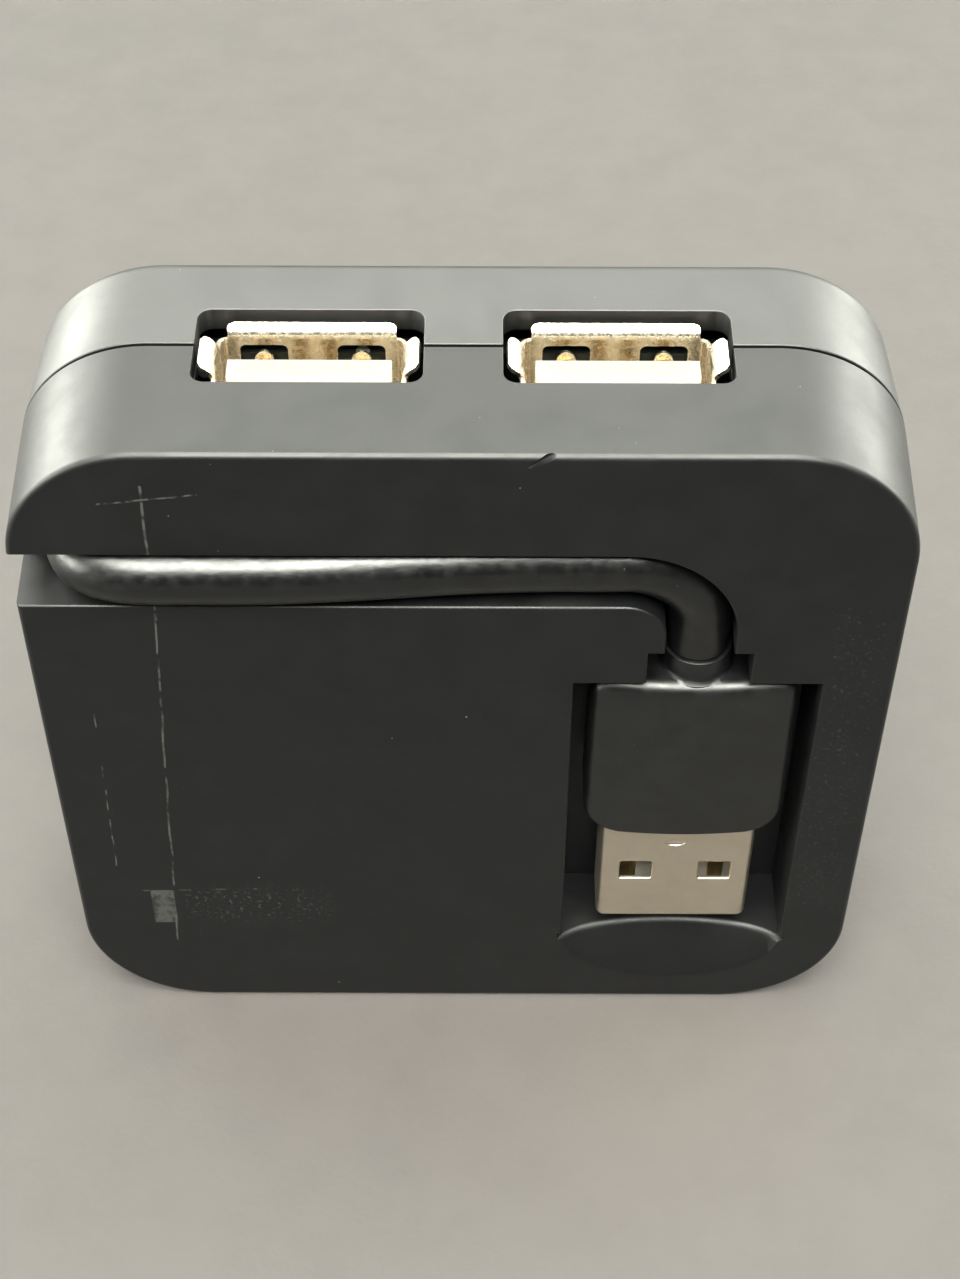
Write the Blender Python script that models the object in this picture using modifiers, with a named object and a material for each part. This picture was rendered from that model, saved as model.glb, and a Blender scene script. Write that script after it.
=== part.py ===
"""USB hub with a captive lead, standing on one edge.

X runs across the underside, Z runs up, and depth is counted along Y from the underside, which faces -Y.
Two covers meet at a parting line. Two ports open upwards and two downwards, on one circuit board.
The lead lies in a slot of the underside and its plug in a dock, and both swing out together.
"""
import math

import bmesh
import bpy
from mathutils import Matrix

MM = 0.001
GAP = 0.3 * MM  # clearance between pieces that touch
PAST = 1 * MM  # how far a cut runs on past what it cuts

# Housing
WIDTH = 61.3 * MM
HEIGHT = 61.3 * MM
DEPTH = 20.5 * MM
CORNER = 9.7 * MM
DRAFT = 0.4 * MM  # how far each side wall leans out at the parting line
WALL = 1.7 * MM
PARTING = 11.1 * MM
UNDERSIDE_FILLET = 0.45 * MM
TOP_FILLET = 1.3 * MM
LIP = 1.0 * MM  # thickness of the inner lip that bridges the parting line
LIP_REACH = 1.5 * MM
POST_RADIUS = 1.8 * MM
POSTS = ((-24.0 * MM, 17.0 * MM), (-24.0 * MM, 36.0 * MM), (2.6 * MM, 21.0 * MM), (2.6 * MM, 40.5 * MM))

# Lead, slot and dock
CORD_RADIUS = 2.25 * MM
SLOT_WIDTH = 4.9 * MM
SLOT_DEPTH = 5.8 * MM
SLOT_Z = 49.75 * MM
LEAD_X = 16.6 * MM  # the plug's centre line
BEND = 5.5 * MM
RECESS_WALL = 1.2 * MM
DOCK_X = LEAD_X + 0.1 * MM
DOCK_WIDTH = 17.7 * MM
DOCK_BOTTOM = 8.1 * MM
DOCK_TOP = 39.45 * MM
DOCK_DEPTH = 6.7 * MM
DOCK_FLOOR = 0.8 * MM
SLOT_FLOOR = 1.1 * MM
NOTCH_WIDTH = 7.4 * MM
NOTCH_TOP = 42.6 * MM
SCOOP = (8.8 * MM, 2.3 * MM, 5.6 * MM)  # the finger scoop's half width, depth and length
SCOOP_Z = DOCK_BOTTOM + 0.4 * MM
CORD_ROOT_X = -26.1 * MM
CORD_HOLE_RADIUS = 2.7 * MM
RELIEF = (7.2 * MM, 9.35 * MM)  # the strain relief's depths
RELIEF_HALF = 3.4 * MM
RELIEF_WALL = 0.35 * MM  # its least wall, towards the housing's side

# The cord's own centre line from the strain relief to the plug's neck: x, depth, z in millimetres
CORD_ROUTE = (
    (-26.1, 9.4, 49.75), (-26.1, 7.9, 49.75), (-26.2, 6.2, 49.75), (-26.65, 4.2, 49.75),
    (-25.6, 2.1, 49.75), (-22.9, 1.05, 49.75), (-18.5, 0.95, 49.75), (-13.0, 1.0, 49.75),
    (-7.0, 1.4, 49.75), (-1.0, 1.95, 49.75), (4.5, 2.25, 49.75), (9.2, 2.3, 49.75),
    (12.4, 2.4, 49.55), (14.95, 2.6, 48.1), (16.35, 2.85, 46.2), (16.7, 3.05, 44.0), (16.75, 3.2, 41.1),
)

# Plug
SHELL_WIDTH = 12.0 * MM
SHELL_NEAR, SHELL_FAR = 1.0 * MM, 5.5 * MM
SHELL_TIP = 10.15 * MM
SHELL_ROOT = 26.0 * MM
SHEET = 0.3 * MM
MOULD_X = LEAD_X + 0.1 * MM
MOULD_WIDTH = (15.2 * MM, 14.7 * MM)  # at its foot and at its head
MOULD_BOTTOM, MOULD_TOP = 22.1 * MM, 38.9 * MM
MOULD_THICKNESS = 6.35 * MM
MOULD_CROWN = 0.65 * MM
NECK_X = LEAD_X + 0.15 * MM
NECK_RADIUS = 2.5 * MM
NECK_DEPTH = 3.2 * MM
NECK_TOP = 40.8 * MM
PLUG_WINDOW_X = 3.1 * MM
PLUG_WINDOW_HALF = 1.27 * MM
PLUG_WINDOW = (15.1 * MM, 17.3 * MM)
PLUG_TONGUE = (3.25 * MM, 22.5 * MM)  # its near face's depth and its end
PLUG_CONTACT_HALF = 0.6 * MM
PLUG_CONTACT_DEPTHS = (2.95 * MM, 3.13 * MM)

# Ports
PORT_X = 10.42 * MM
PORT_DEPTH = 11.06 * MM  # the middle of a port
OPENING = (15.5 * MM, 7.5 * MM)
OPENING_CORNER = 1.0 * MM
PORT_INSIDE = (12.5 * MM, 5.12 * MM)
PORT_MOUTH = -1.17 * MM  # below the housing's surface
PORT_REAR = -14.3 * MM
LIP_TOP = -0.6 * MM
LIP_HALF = (5.78 * MM, 1.9 * MM)  # half lengths of the bent lips: near and far, left and right
LIP_FLARE = (0.5 * MM, 0.9 * MM)
WINDOW_X = 3.36 * MM
WINDOW_HALF = 1.65 * MM
WINDOW = (-7.6 * MM, -2.15 * MM)
FINGER_HALF = 0.7 * MM
TONGUE_HALF = 5.55 * MM
TONGUE_DEPTHS = (-1.86 * MM, -0.02 * MM)
TONGUE_FRONT = -1.15 * MM
BLOCK_HALF = (6.0 * MM, 2.3 * MM)
BLOCK = (-13.9 * MM, -10.5 * MM)
CONTACT_X = (-3.5 * MM, -1.0 * MM, 1.0 * MM, 3.5 * MM)
CONTACT_HALF = 0.45 * MM
CONTACT_DEPTHS = (0.28 * MM, 0.48 * MM)
GROOVE_HALF = 0.7 * MM

# Circuit board
BOARD_NEAR = 14.2 * MM
BOARD_THICKNESS = 1.6 * MM
BOARD_INSET = 3.3 * MM
CHIP = (-9.0 * MM, 29.5 * MM)
CHIP_HALF = (5.0 * MM, 3.5 * MM)
CHIP_DEPTHS = (1.8 * MM, 0.2 * MM)  # above the board
CHIP_LEADS = 8
CHIP_LEAD_PITCH = 1.2 * MM
CRYSTAL = (-9.0 * MM, 19.5 * MM)
CRYSTAL_HALF = (5.5 * MM, 2.3 * MM)
CRYSTAL_HEIGHT = 3.5 * MM
CAPACITORS = ((-17.5 * MM, 41.0 * MM), (-2.0 * MM, 38.5 * MM), (-21.5 * MM, 26.5 * MM))
CAPACITOR_RADIUS = 2.1 * MM
CAPACITOR_HEIGHT = 5.0 * MM
WIRE_RADIUS = 0.4 * MM
WIRES = ((-0.9, 0.9), (0.9, 0.9), (-0.9, -0.9), (0.9, -0.9))  # from the cord's centre, in millimetres

PROUD = 1.3 * MM  # how far the cord stands out of the underside
FRONT = -(DEPTH - PROUD) / 2  # Y of the underside, so that housing and lead together are centred

AXES = {
    "X": Matrix(((0, 0, 1), (1, 0, 0), (0, 1, 0))),
    "Y": Matrix(((1, 0, 0), (0, 0, -1), (0, 1, 0))),
    "Z": Matrix.Identity(3),
}


def clear_scene():
    for thing in list(bpy.data.objects):
        bpy.data.objects.remove(thing, do_unlink=True)


def collection(name):
    group = bpy.data.collections.new(name)
    bpy.context.scene.collection.children.link(group)
    return group


def material(name, colour, roughness, metallic=0.0):
    surface = bpy.data.materials.new(name)
    surface.use_nodes = True
    shader = surface.node_tree.nodes["Principled BSDF"]
    shader.inputs["Base Color"].default_value = (*colour, 1.0)
    shader.inputs["Roughness"].default_value = roughness
    shader.inputs["Metallic"].default_value = metallic
    return surface


def y_at(depth):
    return FRONT + depth


# Shapes


def arc(centre, radius, start, end, steps):
    """Points on a circle from start to end degrees."""
    angles = [math.radians(start + (end - start) * i / steps) for i in range(steps + 1)]
    return [(centre[0] + radius * math.cos(a), centre[1] + radius * math.sin(a)) for a in angles]


def rectangle(low, high):
    return [(low[0], low[1]), (high[0], low[1]), (high[0], high[1]), (low[0], high[1])]


def rounded(low, high, radius, steps=3):
    """A rectangle with round corners, anticlockwise."""
    corners = ((high[0], high[1], 0), (low[0], high[1], 90), (low[0], low[1], 180), (high[0], low[1], 270))
    points = []
    for x, z, start in corners:
        centre = (x - math.copysign(radius, x - (low[0] + high[0]) / 2),
                  z - math.copysign(radius, z - (low[1] + high[1]) / 2))
        points += arc(centre, radius, start, start + 90, steps)
    return points


def tidy(mesh):
    """Welds a mesh, merges its flat faces and turns its faces outwards."""
    work = bmesh.new()
    work.from_mesh(mesh)
    bmesh.ops.remove_doubles(work, verts=work.verts, dist=1e-6)
    bmesh.ops.dissolve_limit(work, angle_limit=0.002, verts=work.verts, edges=work.edges)
    bmesh.ops.recalc_face_normals(work, faces=work.faces)
    work.to_mesh(mesh)
    work.free()


def evaluated_mesh(thing):
    bpy.context.view_layer.update()
    shown = thing.evaluated_get(bpy.context.evaluated_depsgraph_get())
    mesh = bpy.data.meshes.new_from_object(shown)
    mesh.transform(thing.matrix_world)
    return mesh


def solid(name, mesh):
    thing = bpy.data.objects.new(name, mesh)
    bpy.context.scene.collection.objects.link(thing)
    return thing


def from_curve(name, curve, placed):
    """A mesh object made from a curve."""
    holder = bpy.data.objects.new(name + "_outline", curve)
    bpy.context.scene.collection.objects.link(holder)
    holder.matrix_world = placed
    mesh = evaluated_mesh(holder)
    bpy.data.objects.remove(holder, do_unlink=True)
    tidy(mesh)
    return solid(name, mesh)


def prism(name, outline, axis, low, high):
    """A flat outline drawn out along one axis, from low to high."""
    curve = bpy.data.curves.new(name, "CURVE")
    curve.dimensions = "2D"
    curve.fill_mode = "BOTH"
    curve.extrude = (high - low) / 2
    spline = curve.splines.new("POLY")
    spline.points.add(len(outline) - 1)
    for point, (across, up) in zip(spline.points, outline):
        point.co = (across, up, 0, 1)
    spline.use_cyclic_u = True
    placed = AXES[axis].to_4x4()
    placed.translation = AXES[axis] @ Matrix.Identity(3).col[2] * (high + low) / 2
    if axis == "Y":
        placed.translation *= -1
    return from_curve(name, curve, placed)


def box(name, low, high):
    """A block between two corners."""
    return prism(name, rectangle(low[:2], high[:2]), "Z", low[2], high[2])


def cylinder(name, centre, radius, axis, low, high, sides=16):
    outline = arc(centre, radius, 0, 360 - 360 / sides, sides - 1)
    return prism(name, outline, axis, low, high)


def tube(name, points, radius, resolution):
    """A round wire along a smooth curve through its points."""
    curve = bpy.data.curves.new(name, "CURVE")
    curve.dimensions = "3D"
    curve.bevel_depth = radius
    curve.bevel_resolution = resolution
    curve.use_fill_caps = True
    spline = curve.splines.new("POLY")
    spline.points.add(len(points) - 1)
    for point, place in zip(spline.points, points):
        point.co = (*place, 1)
    return from_curve(name, curve, Matrix.Identity(4))


def smooth_route(points, between):
    """Catmull-Rom points, with a number of them between each pair."""
    padded = [points[0], *points, points[-1]]
    route = []
    for i in range(len(points) - 1):
        a, b, c, d = padded[i:i + 4]
        for step in range(between):
            t = step / between
            route.append(tuple(
                0.5 * (2 * q + (r - p) * t + (2 * p - 5 * q + 4 * r - s) * t ** 2
                       + (3 * q - p - 3 * r + s) * t ** 3)
                for p, q, r, s in zip(a, b, c, d)))
    route.append(points[-1])
    return route


# Joining and cutting


def combine(thing, other, operation, helpers):
    """Adds a Boolean modifier with another object, which is kept as a helper."""
    change = thing.modifiers.new(other.name, "BOOLEAN")
    change.operation = operation
    change.solver = "EXACT"
    change.object = other
    for group in other.users_collection:
        group.objects.unlink(other)
    helpers.objects.link(other)
    other.hide_render = True
    other.display_type = "WIRE"


def finish(thing, surface, parts, smooth=False):
    """Files a finished piece under the hub, with its material."""
    thing.data.materials.clear()
    thing.data.materials.append(surface)
    if smooth:
        thing.data.shade_smooth()
        thing.data.set_sharp_from_angle(angle=math.radians(35))
    for group in thing.users_collection:
        group.objects.unlink(thing)
    parts.objects.link(thing)
    return thing


def bake(thing):
    """Applies a piece's modifiers and removes its helpers."""
    mesh = evaluated_mesh(thing)
    spent = [change.object for change in thing.modifiers if change.type == "BOOLEAN"]
    for old in [thing, *spent]:
        bpy.data.objects.remove(old, do_unlink=True)
    tidy(mesh)
    return mesh


def round_rim(thing, depth, width, segments):
    """Rounds the edges that lie at one depth."""
    work = bmesh.new()
    work.from_mesh(thing.data)
    rim = [e for e in work.edges if all(abs(v.co.y - y_at(depth)) < 1e-5 for v in e.verts)]
    bmesh.ops.bevel(work, geom=rim, offset=width, segments=segments, profile=0.5, affect="EDGES")
    work.to_mesh(thing.data)
    work.free()


def widen_rim(thing, depth):
    """Leans the side walls out by the draft, at the parting line."""
    for vertex in thing.data.vertices:
        if abs(vertex.co.y - y_at(depth)) < 1e-5:
            vertex.co.x *= 1 + 2 * DRAFT / WIDTH


# Housing


def housing_outline(inset=0.0, steps=8):
    low = (-WIDTH / 2 + inset, inset)
    high = (WIDTH / 2 - inset, HEIGHT - inset)
    return rounded(low, high, CORNER - inset, steps)


def slot_outline(left, grow=0.0):
    """The slot: along the top of the underside, then round a bend and down to the dock."""
    half = SLOT_WIDTH / 2 + grow
    centre = (LEAD_X - BEND, SLOT_Z - BEND)
    foot = DOCK_TOP + 1 * MM
    points = [(left, SLOT_Z - half)]
    points += arc(centre, BEND - half, 90, 0, 4)
    points += [(LEAD_X - half, foot), (LEAD_X + half, foot)]
    points += arc(centre, BEND + half, 0, 90, 8)
    points.append((left, SLOT_Z + half))
    return points


def dock_outline(grow=0.0):
    """The dock for the plug, with a notch for its neck."""
    half, neck = DOCK_WIDTH / 2 + grow, NOTCH_WIDTH / 2 + grow
    low, high, top = DOCK_BOTTOM - grow, DOCK_TOP + grow, NOTCH_TOP + grow
    return [(DOCK_X - half, low), (DOCK_X + half, low), (DOCK_X + half, high), (DOCK_X + neck, high),
            (DOCK_X + neck, top), (DOCK_X - neck, top), (DOCK_X - neck, high), (DOCK_X - half, high)]


def cut_ports(cover, helpers):
    half = OPENING[0] / 2
    near = y_at(PORT_DEPTH - OPENING[1] / 2)
    far = y_at(PORT_DEPTH + OPENING[1] / 2)
    inside = CORNER / 2
    for end, (low, high) in (("up", (HEIGHT - inside, HEIGHT + PAST)), ("down", (-PAST, inside))):
        for side, x in (("left", -PORT_X), ("right", PORT_X)):
            outline = rounded((x - half, near), (x + half, far), OPENING_CORNER)
            opening = prism(f"{cover.name}_opening_{end}_{side}", outline, "Z", low, high)
            combine(cover, opening, "DIFFERENCE", helpers)


def add_posts(cover, low, high, helpers):
    for number, (x, z) in enumerate(POSTS, 1):
        post = cylinder(f"{cover.name}_post_{number}", (x, z), POST_RADIUS, "Y", y_at(low), y_at(high), 10)
        combine(cover, post, "UNION", helpers)


def cover_block(name, near, far, rim, face, fillet, segments):
    cover = prism(name, housing_outline(), "Y", y_at(near), y_at(far))
    widen_rim(cover, rim)
    round_rim(cover, face, fillet, segments)
    return cover


def hollow(cover, low, high, helpers):
    space = prism(cover.name + "_space", housing_outline(WALL, 6), "Y", y_at(low), y_at(high))
    combine(cover, space, "DIFFERENCE", helpers)


def recess_blocks(cover, helpers):
    """The walls behind the slot, the dock and the scoop."""
    near = y_at(WALL / 2)
    slot = prism("slot_wall", slot_outline((WALL - WIDTH) / 2, RECESS_WALL), "Y",
                 near, y_at(SLOT_DEPTH + SLOT_FLOOR))
    dock = prism("dock_wall", dock_outline(RECESS_WALL), "Y", near, y_at(DOCK_DEPTH + DOCK_FLOOR))
    across, up = SCOOP[0] + WALL, SCOOP[2] + WALL
    half_round = [math.radians(180 + 15 * i) for i in range(13)]
    bowl = [(DOCK_X + across * math.cos(a), SCOOP_Z + up * math.sin(a)) for a in half_round]
    scoop = prism("scoop_wall", bowl, "Y", near, y_at(SCOOP[1] + RECESS_WALL))
    for block in (slot, dock, scoop):
        combine(cover, block, "UNION", helpers)


def finger_scoop():
    """A half-round groove that rises to the surface below the dock."""
    across, deep, length = SCOOP
    turns = [math.radians(15 * i) for i in range(24)]
    outline = [(DOCK_X + across * math.cos(a), y_at(deep * math.sin(a))) for a in turns]
    groove = prism("finger_scoop", outline, "Z", SCOOP_Z - 1.5 * length, SCOOP_Z)
    for vertex in groove.data.vertices:
        vertex.co.y -= deep / length * (SCOOP_Z - vertex.co.z)
    return groove


def recess_cuts(cover, helpers):
    """The slot, the dock, the finger scoop below it and the hole that the cord comes out of."""
    slot = prism("slot", slot_outline(-WIDTH), "Y", y_at(-PAST), y_at(SLOT_DEPTH))
    dock = prism("dock", dock_outline(), "Y", y_at(-PAST), y_at(DOCK_DEPTH))
    hole = cylinder("cord_hole", (CORD_ROOT_X, SLOT_Z), CORD_HOLE_RADIUS, "Y",
                    y_at(SLOT_DEPTH - PAST), y_at(RELIEF[0]), 12)
    for cutter in (slot, dock, finger_scoop(), hole):
        combine(cover, cutter, "DIFFERENCE", helpers)


def make_bottom_cover(surface, parts, helpers):
    rim = PARTING - GAP / 2
    cover = cover_block("bottom_cover", 0, rim, rim, 0, UNDERSIDE_FILLET, 3)
    hollow(cover, WALL, rim + PAST, helpers)
    recess_blocks(cover, helpers)
    add_posts(cover, WALL / 2, BOARD_NEAR - GAP, helpers)
    recess_cuts(cover, helpers)
    cut_ports(cover, helpers)
    finish(cover, surface, parts)


def make_top_cover(surface, parts, helpers):
    """The upper cover, with a lip that reaches inside the lower one."""
    rim = PARTING + GAP / 2
    cover = cover_block("top_cover", rim, DEPTH, rim, DEPTH, TOP_FILLET, 3)
    hollow(cover, rim - PAST, DEPTH - WALL, helpers)
    inside = WALL + GAP
    root = prism("lip_root", housing_outline(WALL / 2, 6), "Y", y_at(rim), y_at(BOARD_NEAR - GAP))
    lip = prism("lip", housing_outline(inside, 6), "Y", y_at(rim - LIP_REACH), y_at(BOARD_NEAR - PAST))
    bore = prism("lip_bore", housing_outline(inside + LIP, 6), "Y",
                 y_at(rim - LIP_REACH - PAST), y_at(DEPTH - WALL))
    combine(cover, root, "UNION", helpers)
    combine(cover, lip, "UNION", helpers)
    combine(cover, bore, "DIFFERENCE", helpers)
    add_posts(cover, BOARD_NEAR + BOARD_THICKNESS + GAP, DEPTH - WALL / 2, helpers)
    cut_ports(cover, helpers)
    finish(cover, surface, parts)


# Circuit board


def make_board(surfaces, parts, helpers):
    board = prism("circuit_board", housing_outline(BOARD_INSET, 4), "Y",
                  y_at(BOARD_NEAR), y_at(BOARD_NEAR + BOARD_THICKNESS))
    finish(board, surfaces["board"], parts)
    make_chip(surfaces["chip"], parts, helpers)
    make_crystal(surfaces["steel"], parts)
    make_capacitors(surfaces["capacitor"], parts)


def make_chip(surface, parts, helpers):
    """The hub controller, with a row of leads at each end."""
    (x, z), top = CHIP, BOARD_NEAR - GAP
    near, far = y_at(top - CHIP_DEPTHS[0]), y_at(top - CHIP_DEPTHS[1])
    wide, high = CHIP_HALF
    chip = box("hub_controller", (x - wide, near, z - high), (x + wide, far, z + high))
    half, reach, thickness = 0.2 * MM, high + 1.1 * MM, 0.8 * MM
    for number in range(CHIP_LEADS):
        across = x + (number - (CHIP_LEADS - 1) / 2) * CHIP_LEAD_PITCH
        lead = box(f"chip_lead_{number + 1}", (across - half, y_at(top - thickness), z - reach),
                   (across + half, y_at(top), z + reach))
        combine(chip, lead, "UNION", helpers)
    finish(chip, surface, parts)


def make_crystal(surface, parts):
    (x, z), (across, up), top = CRYSTAL, CRYSTAL_HALF, BOARD_NEAR - GAP
    outline = rounded((x - across, z - up), (x + across, z + up), 0.95 * up, 4)
    finish(prism("crystal", outline, "Y", y_at(top - CRYSTAL_HEIGHT), y_at(top)), surface, parts, True)


def make_capacitors(surface, parts):
    top = BOARD_NEAR - GAP
    for number, place in enumerate(CAPACITORS, 1):
        can = cylinder(f"capacitor_{number}", place, CAPACITOR_RADIUS, "Y",
                       y_at(top - CAPACITOR_HEIGHT), y_at(top), 14)
        finish(can, surface, parts, True)


# Ports, made about their own mouth: the housing's surface at z 0, the port's middle at y 0


def flared_lip(name, wall, axis, half_width, sign, reach):
    """One edge of the shell, bent outwards to lead a plug in."""
    skin = 0.04 * MM
    inner, outer = wall + skin, wall + SHEET - skin
    root, bend = PORT_MOUTH - 2 * SHEET, PORT_MOUTH - 3 * skin
    points = [(inner, root), (outer, root), (outer, bend), (outer + reach, LIP_TOP - SHEET + skin),
              (inner + reach, LIP_TOP), (inner, PORT_MOUTH)]
    return prism(name, [(sign * across, up) for across, up in points], axis, -half_width, half_width)


def spring_finger(name, x, sign):
    """A tab left standing in a window, bent inwards to grip the plug."""
    wall = PORT_INSIDE[1] / 2
    line = [(wall + 0.05 * MM, -8.0 * MM), (wall - 0.36 * MM, -3.4 * MM), (wall - 0.05 * MM, -2.65 * MM)]
    points = line + [(across + 0.2 * MM, up) for across, up in reversed(line)]
    return prism(name, [(sign * across, up) for across, up in points], "X", x - FINGER_HALF, x + FINGER_HALF)


def port_shell_mesh(helpers):
    half = (PORT_INSIDE[0] / 2, PORT_INSIDE[1] / 2)
    outside = (half[0] + SHEET, half[1] + SHEET)
    outline = rounded((-outside[0], -outside[1]), outside, 0.7 * MM)
    shell = prism("port_shell", outline, "Z", PORT_REAR, PORT_MOUTH)
    inner = rounded((-half[0], -half[1]), half, 0.7 * MM - SHEET)
    bore = prism("port_bore", inner, "Z", PORT_REAR - PAST, PORT_MOUTH + PAST)
    combine(shell, bore, "DIFFERENCE", helpers)
    sides = (("left", -WINDOW_X), ("right", WINDOW_X))
    for side, x in sides:
        window = box(f"port_window_{side}", (x - WINDOW_HALF, -2 * half[1], WINDOW[0]),
                     (x + WINDOW_HALF, 2 * half[1], WINDOW[1]))
        combine(shell, window, "DIFFERENCE", helpers)
    for end, sign in (("near", -1), ("far", 1)):
        for kind, wall, axis, length, reach in (("lip", half[1], "X", LIP_HALF[0], LIP_FLARE[0]),
                                                ("side", half[0], "Y", LIP_HALF[1], LIP_FLARE[1])):
            combine(shell, flared_lip(f"{kind}_{end}", wall, axis, length, sign, reach), "UNION", helpers)
        for side, x in sides:
            combine(shell, spring_finger(f"finger_{end}_{side}", x, sign), "UNION", helpers)
    return bake(shell)


def port_tongue_mesh(helpers):
    """The insulator: a tongue that carries the contacts, on a block that fills the shell's rear."""
    across, deep = BLOCK_HALF
    block = box("port_tongue", (-across, -deep, BLOCK[0]), (across, deep, BLOCK[1]))
    near, far = TONGUE_DEPTHS
    chamfer = 0.15 * MM
    root = BLOCK[1] - PAST
    profile = [(near, root), (far, root), (far, TONGUE_FRONT - chamfer), (far - chamfer, TONGUE_FRONT),
               (near, TONGUE_FRONT)]
    tongue = prism("tongue", profile, "X", -TONGUE_HALF, TONGUE_HALF)
    combine(block, tongue, "UNION", helpers)
    for number, x in enumerate(CONTACT_X, 1):
        groove = box(f"groove_{number}", (x - GROOVE_HALF, CONTACT_DEPTHS[0] - 0.8 * GAP, BLOCK[0] - PAST),
                     (x + GROOVE_HALF, CONTACT_DEPTHS[1] + 0.9 * GAP, BLOCK[1] + PAST))
        combine(block, groove, "DIFFERENCE", helpers)
    return bake(block)


def port_contact_mesh():
    """A spring strip that runs along the tongue, through the block and down to the board."""
    near, far = CONTACT_DEPTHS
    foot = BOARD_NEAR - PORT_DEPTH - GAP
    front, rear = -2.7 * MM, PORT_REAR - GAP
    strip = 0.25 * MM
    points = [(near, front), (far, front + 0.15 * MM), (far, rear), (foot, rear), (foot, rear - strip),
              (near, rear - strip)]
    return bake(prism("port_contact", points, "X", -CONTACT_HALF, CONTACT_HALF))


def make_ports(surfaces, parts, helpers):
    """Four copies of one port, each under an empty at its own mouth."""
    meshes = {"shell": port_shell_mesh(helpers), "tongue": port_tongue_mesh(helpers),
              "contact": port_contact_mesh()}
    places = ((-PORT_X, HEIGHT, 0), (PORT_X, HEIGHT, 0), (-PORT_X, 0, math.pi), (PORT_X, 0, math.pi))
    for number, (x, z, turn) in enumerate(places, 1):
        mouth = bpy.data.objects.new(f"port_{number}", None)
        parts.objects.link(mouth)
        mouth.location = (x, y_at(PORT_DEPTH), z)
        mouth.rotation_euler = (0, turn, 0)
        pieces = [("shell", 0, "steel"), ("tongue", 0, "white_plastic")]
        pieces += [("contact", contact_x, "gold") for contact_x in CONTACT_X]
        for index, (kind, shift, surface) in enumerate(pieces):
            suffix = f"_{index - 1}" if kind == "contact" else ""
            piece = solid(f"port_{number}_{kind}{suffix}", meshes[kind].copy())
            finish(piece, surfaces[surface], parts, kind == "shell")
            piece.parent = mouth
            piece.location = (shift, 0, 0)


# Plug and cord


def make_plug_shell(surface, parts, helpers):
    low, high = (LEAD_X - SHELL_WIDTH / 2, y_at(SHELL_NEAR)), (LEAD_X + SHELL_WIDTH / 2, y_at(SHELL_FAR))
    shell = prism("plug_shell", rounded(low, high, 0.55 * MM), "Z", SHELL_TIP, SHELL_ROOT)
    inner = rounded((low[0] + SHEET, low[1] + SHEET), (high[0] - SHEET, high[1] - SHEET), 0.3 * MM)
    bore = prism("plug_bore", inner, "Z", SHELL_TIP - PAST, SHELL_ROOT + PAST)
    combine(shell, bore, "DIFFERENCE", helpers)
    for side, x in (("left", LEAD_X - PLUG_WINDOW_X), ("right", LEAD_X + PLUG_WINDOW_X)):
        window = box(f"plug_window_{side}", (x - PLUG_WINDOW_HALF, low[1] - PAST, PLUG_WINDOW[0]),
                     (x + PLUG_WINDOW_HALF, high[1] + PAST, PLUG_WINDOW[1]))
        combine(shell, window, "DIFFERENCE", helpers)
    finish(shell, surface, parts, True)


def make_plug_insulator(surfaces, parts, helpers):
    """The plug's tongue with its four strips."""
    inset = SHEET + GAP / 2
    near, far = y_at(SHELL_NEAR + inset), y_at(SHELL_FAR - inset)
    half = SHELL_WIDTH / 2 - inset
    depth, end = PLUG_TONGUE
    tongue = box("plug_tongue", (LEAD_X - half, y_at(depth), SHELL_TIP + 0.5 * MM), (LEAD_X + half, far, end))
    block = box("plug_tongue_root", (LEAD_X - half, near, end - PAST), (LEAD_X + half, far, SHELL_ROOT - GAP))
    combine(tongue, block, "UNION", helpers)
    finish(tongue, surfaces["white_plastic"], parts)
    for number, x in enumerate(CONTACT_X, 1):
        start = SHELL_TIP + (1.5 * MM if number in (1, 4) else 2.5 * MM)
        low = (LEAD_X + x - PLUG_CONTACT_HALF, y_at(PLUG_CONTACT_DEPTHS[0]), start)
        high = (LEAD_X + x + PLUG_CONTACT_HALF, y_at(PLUG_CONTACT_DEPTHS[1]), end - PAST - GAP)
        strip = box(f"plug_contact_{number}", low, high)
        finish(strip, surfaces["gold"], parts)


def mould_front():
    """The overmould's outline seen from the underside: wider at its round foot."""
    foot, head = MOULD_WIDTH[0] / 2, MOULD_WIDTH[1] / 2
    foot_radius, head_radius = 2.3 * MM, 0.8 * MM
    low = arc((MOULD_X + foot - foot_radius, MOULD_BOTTOM + foot_radius), foot_radius, 270, 360, 5)
    high = arc((MOULD_X + head - head_radius, MOULD_TOP - head_radius), head_radius, 0, 90, 3)
    right = low + high
    return right + [(2 * MOULD_X - x, z) for x, z in reversed(right)]


def mould_section():
    """The overmould's crowned section: both faces are shallow arcs."""
    half = MOULD_WIDTH[0] / 2
    radius = (half ** 2 + MOULD_CROWN ** 2) / (2 * MOULD_CROWN)
    swing = math.degrees(math.asin(half / radius))
    face = arc((MOULD_X, y_at(radius)), radius, 270 - swing, 270 + swing, 10)
    back = [(x, 2 * y_at(MOULD_THICKNESS / 2) - y) for x, y in reversed(face)]
    return face + back


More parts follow.
